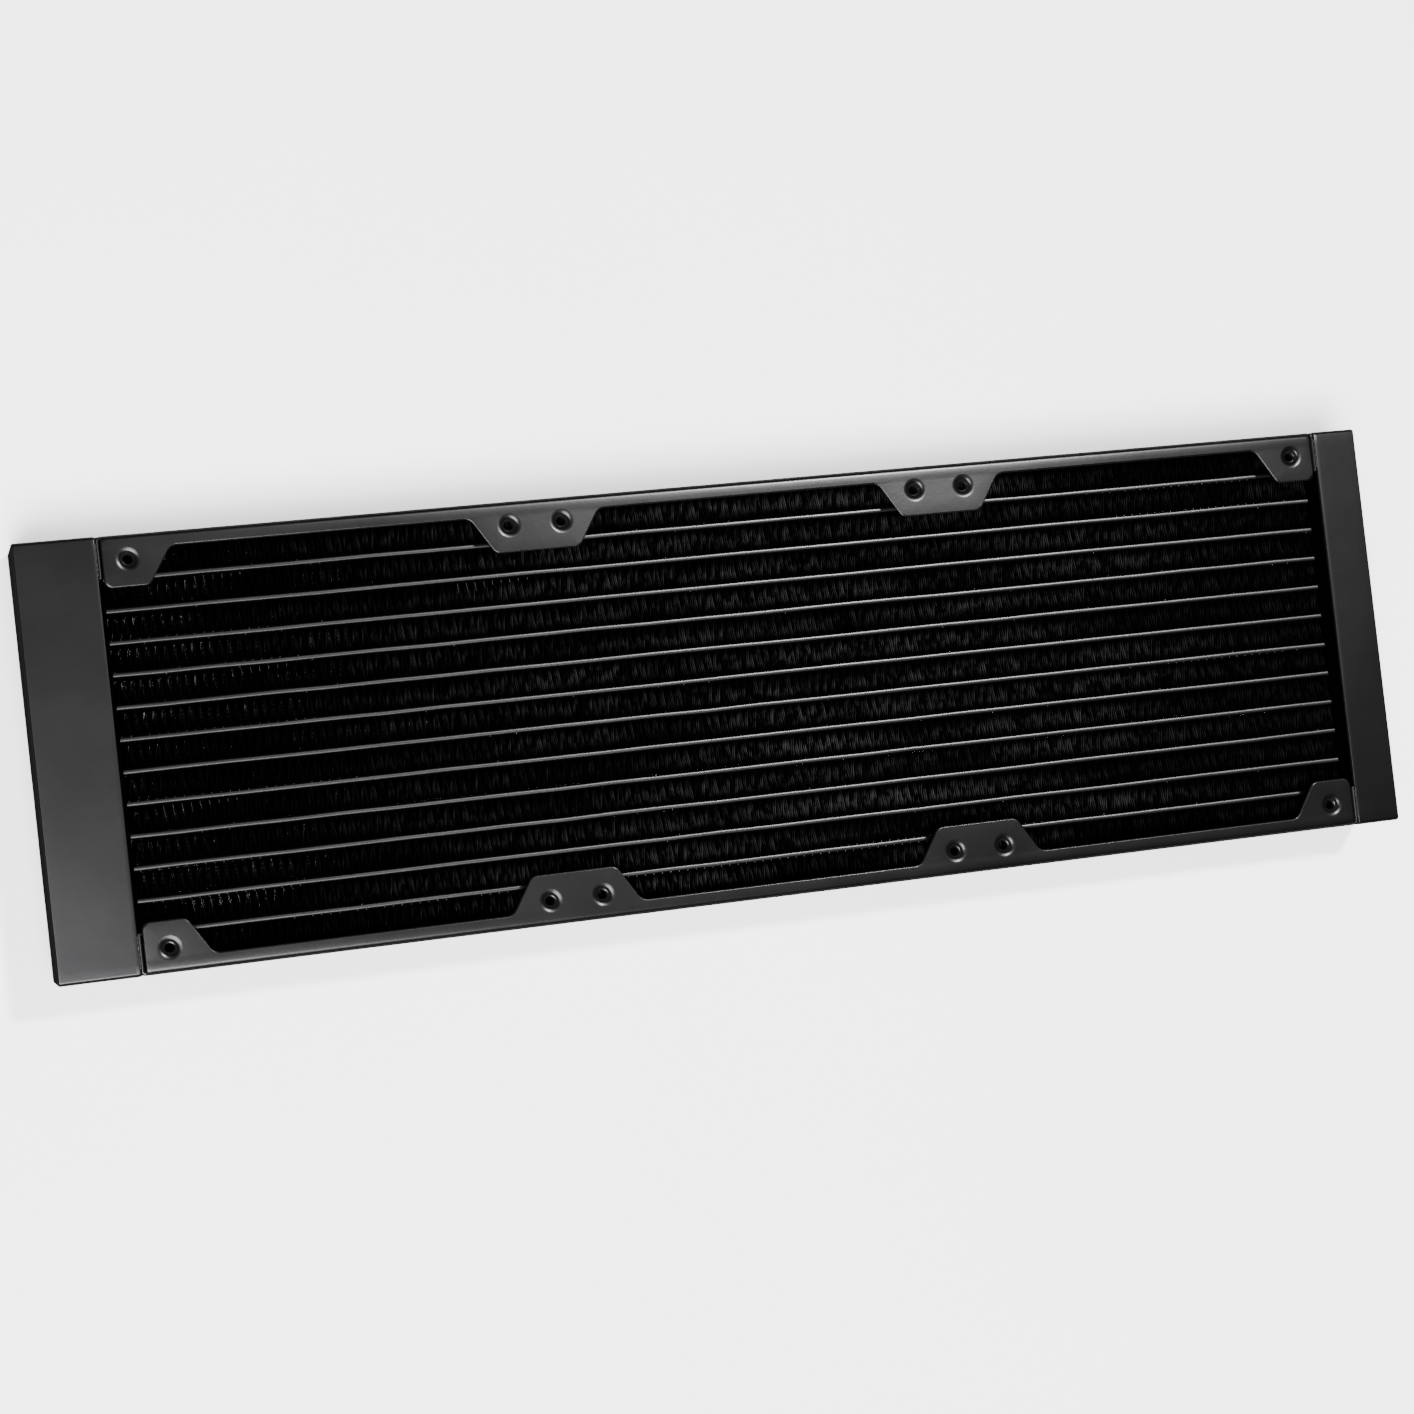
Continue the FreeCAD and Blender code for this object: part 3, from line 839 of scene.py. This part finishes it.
def paint_drops(name, face, seed):
    """Drops and runs of paint where fins meet tubes, on one face of the core."""
    rng = random.Random(seed)
    shapes = []
    for index, node in enumerate(FIN_NAMES):
        low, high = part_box(node)
        path = fin_path(low, high, random.Random(FIN_SEED + index))
        top = high.z if face > 0 else low.z
        for side, tube in ((1, index), (-1, index - 1)):
            if not 0 <= tube < len(TUBE_NAMES):
                continue
            nose_low, nose_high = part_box(TUBE_NAMES[tube])
            nose = (nose_high.z if face > 0 else nose_low.z) - face * DROP_SINK
            crest_middle = 6 if side > 0 else 1
            crests = path[crest_middle::POINTS_PER_FOLD]
            for x, y, _ in crests:
                if rng.random() < drop_share(tube, -side, x):
                    size = rng.uniform(0.2, 0.32) * MM
                    shapes.append(paint_drop(x, y, nose, size, side, face))
        for first, last, longest in RUN_LEGS:
            run_length = 0.0
            for k in range(FIN_PERIODS):
                foot = Vector(path[POINTS_PER_FOLD * k + first][:2])
                leg_end = Vector(path[POINTS_PER_FOLD * k + last][:2])
                near_tank = max(0.0, 1 - (foot.x - low.x) / RUN_REACH)
                if run_length == 0.0 and rng.random() < RUN_CHANCE * near_tank:
                    run_length = rng.uniform(0.3, 1.0) * longest
                if run_length > SHORTEST_RUN:
                    end = foot.lerp(leg_end, run_length)
                    shapes.append(paint_run(foot, end, top, RUN_RADIUS, face))
                    run_length *= rng.uniform(0.65, 1.0)
                else:
                    run_length = 0.0
    points = []
    faces = []
    for new_points, new_faces in shapes:
        join(points, faces, new_points, new_faces)
    return piece_from_lists(name, points, faces)


def flattened(value):
    """A sine or cosine changed so that a circle becomes a rounder-shouldered oval."""
    return math.copysign(abs(value) ** (2 / TUBE_NOSE_FLATNESS), value)


def tube_section(radius, half_flat):
    """The outline of a flat tube as (y, z) points around its middle."""
    section = []
    for centre, start in ((half_flat, 0.0), (-half_flat, math.pi)):
        for k in range(TUBE_NOSE_STEPS + 1):
            angle = start + math.pi * k / TUBE_NOSE_STEPS
            section.append((radius * flattened(math.cos(angle)),
                            centre + radius * flattened(math.sin(angle))))
    return np.array(section)


def coolant_tube(node, seed):
    """A flat tube with round noses that waver slightly along its length."""
    low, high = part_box(node)
    rng = np.random.default_rng(seed)
    radius = (high.y - low.y) / 2
    half_flat = (high.z - low.z) / 2 - radius
    middle_y = (low.y + high.y) / 2
    middle_z = (low.z + high.z) / 2
    x = np.linspace(low.x, high.x, TUBE_LENGTH_STEPS)
    wander = np.interp(x, np.linspace(low.x, high.x, WANDER_STATIONS),
                       rng.normal(0, TUBE_WANDER, WANDER_STATIONS))
    shrink = np.interp(x, np.linspace(low.x, high.x, SHRINK_STATIONS),
                       rng.uniform(0.0, TUBE_SHRINK, SHRINK_STATIONS))
    rings = []
    for wall in (0.0, TUBE_WALL):
        section = tube_section(radius - wall, half_flat)
        for i in range(TUBE_LENGTH_STEPS):
            narrow = 1.0 - shrink[i]
            y = middle_y + section[:, 0] * narrow + wander[i]
            z = middle_z + section[:, 1]
            rings.append(np.column_stack([np.full(len(y), x[i]), y, z]))
    size = len(rings[0])
    k = np.arange(size)
    nxt = (k + 1) % size
    quads = []
    for i in range(TUBE_LENGTH_STEPS - 1):
        a = i * size
        quads.append(np.column_stack([a + k, a + nxt, a + size + nxt, a + size + k]))
        b = (TUBE_LENGTH_STEPS + i) * size
        quads.append(np.column_stack([b + nxt, b + k, b + size + k, b + size + nxt]))
    inner = TUBE_LENGTH_STEPS * size
    last = (TUBE_LENGTH_STEPS - 1) * size
    quads.append(np.column_stack([nxt, k, inner + k, inner + nxt]))
    quads.append(np.column_stack([last + k, last + nxt, inner + last + nxt, inner + last + k]))
    mesh = mesh_from_arrays(node + "_drawn", np.concatenate(rings), np.concatenate(quads))
    return smooth(new_piece(node + "_drawn", mesh, [node]), math.radians(50))


# ---- Ports -----------------------------------------------

def port(mount):
    """A turned bush with a threaded bore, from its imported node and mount."""
    node = mount["name"]
    low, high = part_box(node)
    centre = (low + high) / 2
    height = high.z - low.z
    bore = mount["dims"]["r_mm"] * MM
    body = bore + PORT_WALL
    collar = (high.x - low.x) / 2
    lead = height - mount["dims"]["length_mm"] * MM
    rings = [(body, PORT_FOOT_CHAMFER, 0.0), (body - PORT_FOOT_CHAMFER, 0.0, 0.0)]
    rings += [(bore + lead + outside, z, 0.0) for outside, z in PORT_LIP]
    thread_start = lead * 0.5
    thread_rise = height - PORT_THREAD_END_GAP - thread_start
    for k in range(PORT_THREAD_RINGS + 1):
        z = thread_start + thread_rise * k / PORT_THREAD_RINGS
        fade = min(1.0, max(0.15, (z - thread_start) / lead))
        rings.append((bore + PORT_THREAD_DEPTH, z, PORT_THREAD_DEPTH * fade))
    rings += [
        (bore + PORT_THREAD_DEPTH, height, 0.0), (body - PORT_CHAMFER, height, 0.0),
        (body, height - PORT_CHAMFER, 0.0), (body, PORT_COLLAR_TOP, 0.0),
        (collar - PORT_CHAMFER, PORT_COLLAR_TOP, 0.0),
        (collar, PORT_COLLAR_TOP - PORT_CHAMFER, 0.0),
        (collar, TANK_WALL + PORT_CHAMFER, 0.0),
        (collar - PORT_CHAMFER, TANK_WALL, 0.0), (body, TANK_WALL, 0.0),
    ]
    bm = bmesh.new()
    loops = []
    for radius, z, thread in rings:
        loop = []
        for k in range(PORT_SEGMENTS):
            turn = k / PORT_SEGMENTS
            reach = radius - thread * thread_wave(z / PORT_THREAD_PITCH - turn)
            angle = 2 * math.pi * turn
            x = centre.x + reach * math.cos(angle)
            y = centre.y + reach * math.sin(angle)
            loop.append(bm.verts.new((x, y, low.z + z)))
        loops.append(loop)
    for loop, following in zip(loops, loops[1:] + loops[:1]):
        for k in range(PORT_SEGMENTS):
            nxt = (k + 1) % PORT_SEGMENTS
            bm.faces.new((loop[k], loop[nxt], following[nxt], following[k]))
    bmesh.ops.recalc_face_normals(bm, faces=bm.faces)
    return smooth(new_piece(node + "_turned", bm, [node]), math.radians(40))


# ---- Materials -------------------------------------------

def material(name):
    """An empty node material with its shader, output and a coordinate source."""
    mat = bpy.data.materials.new(name)
    mat.use_nodes = True
    nodes = mat.node_tree.nodes
    nodes.clear()
    out = nodes.new("ShaderNodeOutputMaterial")
    shader = nodes.new("ShaderNodeBsdfPrincipled")
    place = nodes.new("ShaderNodeTexCoord")
    mat.node_tree.links.new(shader.outputs["BSDF"], out.inputs["Surface"])
    return mat, shader, place.outputs["Object"]


def noise(mat, place, scale, detail, roughness=0.5):
    """A noise pattern; scale is in repeats per metre."""
    node = mat.node_tree.nodes.new("ShaderNodeTexNoise")
    node.inputs["Scale"].default_value = scale
    node.inputs["Detail"].default_value = detail
    node.inputs["Roughness"].default_value = roughness
    mat.node_tree.links.new(place, node.inputs["Vector"])
    return node.outputs["Fac"]


def spread(mat, value, low, high, from_low=0.3, from_high=0.7):
    """Maps a pattern's values to the range low to high."""
    node = mat.node_tree.nodes.new("ShaderNodeMapRange")
    node.inputs["From Min"].default_value = from_low
    node.inputs["From Max"].default_value = from_high
    node.inputs["To Min"].default_value = low
    node.inputs["To Max"].default_value = high
    mat.node_tree.links.new(value, node.inputs["Value"])
    return node.outputs["Result"]


def blend(mat, share, first, second):
    """Mixes two colours; each is a colour or a socket."""
    node = mat.node_tree.nodes.new("ShaderNodeMix")
    node.data_type = "RGBA"
    links = mat.node_tree.links
    links.new(share, node.inputs["Factor"])
    for socket, colour in ((node.inputs[6], first), (node.inputs[7], second)):
        if isinstance(colour, tuple):
            socket.default_value = colour
        else:
            links.new(colour, socket)
    return node.outputs[2]


def bump(mat, height, distance, below=None):
    """A bump from a height pattern, distance in metres, on top of another bump."""
    node = mat.node_tree.nodes.new("ShaderNodeBump")
    node.inputs["Distance"].default_value = distance
    mat.node_tree.links.new(height, node.inputs["Height"])
    if below is not None:
        mat.node_tree.links.new(below, node.inputs["Normal"])
    return node.outputs["Normal"]


def stretched(mat, place, scale):
    """The place multiplied by a different scale along each axis, in repeats per metre."""
    node = mat.node_tree.nodes.new("ShaderNodeMapping")
    node.inputs["Scale"].default_value = scale
    mat.node_tree.links.new(place, node.inputs["Vector"])
    return node.outputs["Vector"]


def product(mat, *factors):
    """Multiplies patterns together."""
    total = factors[0]
    for factor in factors[1:]:
        node = mat.node_tree.nodes.new("ShaderNodeMath")
        node.operation = "MULTIPLY"
        mat.node_tree.links.new(total, node.inputs[0])
        mat.node_tree.links.new(factor, node.inputs[1])
        total = node.outputs["Value"]
    return total


def grey(value, blue=0.0):
    return (value, value, value * (1 + blue), 1.0)


def facing_up(mat, steepest, flattest):
    """1 on faces that lie flat and 0 on upright walls, from the surface's own direction."""
    nodes = mat.node_tree.nodes
    links = mat.node_tree.links
    place = nodes.new("ShaderNodeTexCoord")
    parts = nodes.new("ShaderNodeSeparateXYZ")
    links.new(place.outputs["Normal"], parts.inputs["Vector"])
    size = nodes.new("ShaderNodeMath")
    size.operation = "ABSOLUTE"
    links.new(parts.outputs["Z"], size.inputs[0])
    return spread(mat, size.outputs["Value"], 0.0, 1.0, steepest, flattest)


def powder_coat(name, dark, light, rough_low, rough_high,
                shine=COAT_SHINE, wall=WALL_GREY, flat_from=(0.6, 0.8)):
    """Black powder coat: fine pebbling over soft unevenness, with painted light by facing: upright
    walls get no shine and a paler grey of their own.
    """
    mat, shader, place = material(name)
    links = mat.node_tree.links
    up = facing_up(mat, *flat_from)
    # Painted light: how flat a face lies sets its shine and its grey, so upright walls show no
    # reflection and take the wall grey.
    links.new(spread(mat, up, 0.0, shine, 0.0, 1.0), shader.inputs["Specular IOR Level"])
    cloud = noise(mat, place, 45.0, 4.0)
    pebble = noise(mat, place, 1900.0, 2.0)
    ripple = noise(mat, place, 160.0, 2.0)
    mottle = noise(mat, place, 520.0, 3.0)
    dust = spread(mat, noise(mat, place, 900.0, 6.0, 0.7), 0.0, 1.0, 0.74, 0.80)
    flat = blend(mat, spread(mat, cloud, 0.0, 1.0), grey(dark, 0.05), grey(light, 0.05))
    grain = spread(mat, mottle, 0.0, 1.0)
    upright = blend(mat, grain, grey(wall * (1 - WALL_MOTTLE), 0.03),
                    grey(wall * (1 + WALL_MOTTLE), 0.03))
    base = blend(mat, up, upright, flat)
    links.new(blend(mat, dust, base, grey(light * 3.0)), shader.inputs["Base Color"])
    links.new(spread(mat, cloud, rough_low, rough_high), shader.inputs["Roughness"])
    soft = bump(mat, ripple, 0.014 * MM)
    uneven = bump(mat, mottle, 0.007 * MM, soft)
    links.new(bump(mat, pebble, 0.006 * MM, uneven), shader.inputs["Normal"])
    return mat


def vary_shine(mat, stretches):
    """Changes a coat's shine along X, a painted highlight that is stronger in some places; a stretch
    is (start, end, share before, share after).
    """
    shader = next(n for n in mat.node_tree.nodes if n.type == "BSDF_PRINCIPLED")
    shine = shader.inputs["Specular IOR Level"]
    nodes = mat.node_tree.nodes
    place = nodes.new("ShaderNodeTexCoord")
    along = nodes.new("ShaderNodeSeparateXYZ")
    mat.node_tree.links.new(place.outputs["Object"], along.inputs["Vector"])
    shares = [spread(mat, along.outputs["X"], before, after, start, end)
              for start, end, before, after in stretches]
    total = product(mat, shine.links[0].from_socket, *shares)
    mat.node_tree.links.new(total, shine)


def shade_toward_tubes(mat, place):
    """Painted shade beside the tubes: 1 along the middle of every fin strip, falling off toward the
    tubes.
    """
    first, second = [sum(corner.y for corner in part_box(n)) / 2 for n in TUBE_NAMES[:2]]
    pitch = second - first
    apart = mat.node_tree.nodes.new("ShaderNodeSeparateXYZ")
    mat.node_tree.links.new(place, apart.inputs["Vector"])
    fold = mat.node_tree.nodes.new("ShaderNodeMath")
    fold.operation = "PINGPONG"
    fold.inputs[1].default_value = pitch / 2
    mat.node_tree.links.new(apart.outputs["Y"], fold.inputs[0])
    return spread(mat, fold.outputs["Value"], 1.0, 0.08, 0.10 * pitch, 0.32 * pitch)


def fin_paint(name):
    """Thin black paint on fin sheet, with painted light: greyer strokes on some folds are painted
    glints, and painted shade darkens it toward both tanks and beside the tubes.
    """
    mat, shader, place = material(name)
    links = mat.node_tree.links
    strips = noise(mat, stretched(mat, place, (12.0, 115.0, 4.0)), 1.0, 2.0)
    glint_strokes = noise(mat, stretched(mat, place, (800.0, 260.0, 60.0)), 1.0, 2.0)
    grain = noise(mat, place, 2600.0, 2.0)
    along = mat.node_tree.nodes.new("ShaderNodeSeparateXYZ")
    links.new(place, along.inputs["Vector"])
    # Painted light in both the grey and the shine: glint strokes that vary per strip, with painted
    # shade toward both tanks and beside the tubes.
    share = product(
        mat, spread(mat, strips, 0.15, 1.0, 0.36, 0.64), spread(mat, glint_strokes, 0.05, 1.0, 0.42, 0.66),
        spread(mat, along.outputs["X"], 0.10, 1.0, -0.14, -0.04),
        spread(mat, along.outputs["X"], 1.0, 0.25, 0.06, 0.15), shade_toward_tubes(mat, place))
    links.new(blend(mat, share, grey(0.0004), grey(0.024)), shader.inputs["Base Color"])
    links.new(spread(mat, share, 0.01, 0.04, 0.0, 1.0), shader.inputs["Specular IOR Level"])
    links.new(spread(mat, grain, 0.40, 0.62), shader.inputs["Roughness"])
    links.new(bump(mat, grain, 0.006 * MM), shader.inputs["Normal"])
    return mat


def brass(name, rough_low, rough_high):
    """Turned or rolled brass with fine lines and slight tarnish."""
    mat, shader, place = material(name)
    links = mat.node_tree.links
    lines = noise(mat, stretched(mat, place, (1.0, 1.0, 12.0)), 420.0, 4.0)
    tarnish = noise(mat, place, 140.0, 4.0)
    colour = blend(mat, spread(mat, tarnish, 0.0, 1.0),
                   (0.60, 0.42, 0.17, 1.0), (0.74, 0.56, 0.27, 1.0))
    links.new(colour, shader.inputs["Base Color"])
    shader.inputs["Metallic"].default_value = 1.0
    links.new(spread(mat, tarnish, rough_high, rough_low), shader.inputs["Roughness"])
    links.new(bump(mat, lines, 0.004 * MM), shader.inputs["Normal"])
    return mat


def paint(obj, mat):
    """Gives an object one material, in place of whatever it has."""
    obj.data.materials.clear()
    obj.data.materials.append(mat)


# ---- Floor, lights and camera ----------------------------

def floor_material():
    mat, shader, place = material("pale_floor")
    links = mat.node_tree.links
    cloud = noise(mat, place, 6.0, 2.0)
    links.new(blend(mat, spread(mat, cloud, 0.0, 1.0), grey(0.86), grey(0.88)),
              shader.inputs["Base Color"])
    shader.inputs["Roughness"].default_value = 0.9
    return mat


def make_floor():
    """A large plain pale floor just under the part."""
    bm = bmesh.new()
    bmesh.ops.create_grid(bm, x_segments=8, y_segments=8, size=FLOOR_HALF_SIZE)
    mesh = bpy.data.meshes.new("floor")
    bm.to_mesh(mesh)
    bm.free()
    obj = bpy.data.objects.new("floor", mesh)
    obj.location.z = cad_bounds[0][2] - FLOOR_GAP
    bpy.context.scene.collection.objects.link(obj)
    paint(obj, floor_material())


def area_light(name, place, target, size, power, colour):
    """A square soft light that faces a target point."""
    data = bpy.data.lights.new(name, "AREA")
    data.shape = "RECTANGLE"
    data.size = size[0]
    data.size_y = size[1]
    data.energy = power
    data.color = colour
    obj = bpy.data.objects.new(name, data)
    obj.location = place
    obj.rotation_euler = (Vector(target) - Vector(place)).to_track_quat("-Z", "Y").to_euler()
    bpy.context.scene.collection.objects.link(obj)
    return obj


def make_lights():
    """Two soft boxes overhead and a dim even surround."""
    world = bpy.data.worlds.new("studio")
    world.use_nodes = True
    world.node_tree.nodes["Background"].inputs["Color"].default_value = grey(1.0)
    world.node_tree.nodes["Background"].inputs["Strength"].default_value = 0.1
    bpy.context.scene.world = world
    area_light("key", (0.73, 0.644, 2.0), (0.05, 0.0, 0.0), (0.18, 0.18), 96,
               (1.0, 0.97, 0.98))
    area_light("fill", (-0.425, -0.652, 1.7), (-0.1, 0.0, 0.0), (0.93, 0.93), 151,
               (0.99, 0.97, 1.0))


def make_camera():
    """The camera, leaning toward the wide tank and slightly rolled."""
    top = cad_bounds[1][2]
    target = Vector((CAMERA_TARGET[0], CAMERA_TARGET[1], top))
    toward_x = math.sin(CAMERA_LEAN_X)
    toward_y = math.sin(CAMERA_LEAN_Y)
    down = math.sqrt(1 - toward_x ** 2 - toward_y ** 2)
    forward = Vector((toward_x, toward_y, -down))
    level_up = (Vector((0, 1, 0)) - forward * forward.y).normalized()
    up = Matrix.Rotation(CAMERA_ROLL, 3, forward) @ level_up
    right = forward.cross(up)
    data = bpy.data.cameras.new("camera")
    data.sensor_width = 36.0
    data.lens = CAMERA_LENS
    obj = bpy.data.objects.new("camera", data)
    turn = Matrix((right, up, -forward)).transposed().to_4x4()
    obj.matrix_world = Matrix.Translation(target - forward * CAMERA_DISTANCE) @ turn
    bpy.context.scene.collection.objects.link(obj)
    bpy.context.scene.camera = obj


# ---- Making everything -----------------------------------

def main():
    coat = powder_coat("tank_coat", 0.0008, 0.0013, 0.25, 0.265)
    frame_coat = powder_coat("frame_coat", 0.0008, 0.0013, 0.245, 0.27)
    # Painted shade: the header plates and core side plates in the recesses get a blacker coat with
    # no shine at all.
    recess_shade_coat = powder_coat("recess_shade_coat", 0.0002, 0.0003, 0.5, 0.6, shine=0.0, wall=0.0005)
    # Painted highlight on the tubes: their shine stops early on the rounded sides, which narrows the
    # highlight, and is set lower toward the wide tank and higher toward the narrow one.
    tube_coat = powder_coat("tube_coat", 0.0012, 0.0020, 0.285, 0.315,
                            shine=0.26, wall=0.0008, flat_from=(0.89, 0.985))
    vary_shine(tube_coat, ((-0.165, -0.06, 0.53, 1.0), (0.06, 0.165, 1.0, 1.42)))
    fins = fin_paint("fin_coat")
    turned = brass("turned_brass", 0.22, 0.36)
    bare = brass("rolled_brass", 0.34, 0.5)

    inlet_tank = tank("inlet_tank", True)
    cut_port_seats(inlet_tank)
    paint(inlet_tank, coat)
    paint(tank("return_tank", False), coat)
    for name in ("inlet_header_plate", "return_header_plate",
                 "core_side_plate_back", "core_side_plate_front"):
        paint(frame["nodes"][name], recess_shade_coat)
    paint(frame["nodes"]["tank_divider"], bare)
    paint(side_frame("side_frame_back_folded", "side_frame_back", False), frame_coat)
    paint(side_frame("side_frame_front_folded", "side_frame_front", True), frame_coat)
    for i, node in enumerate(TUBE_NAMES):
        paint(coolant_tube(node, TUBE_SEED + i), tube_coat)
    for i, node in enumerate(FIN_NAMES):
        paint(fin_strip(node, FIN_SEED + i), fins)
    paint(paint_drops("paint_drops_top", 1, TOP_DROP_SEED), tube_coat)
    paint(paint_drops("paint_drops_under", -1, UNDER_DROP_SEED), tube_coat)
    paint(frame_seams("frame_seams"), frame_coat)
    for mount in PORTS:
        paint(port(mount), turned)
    make_floor()
    make_lights()
    make_camera()


main()
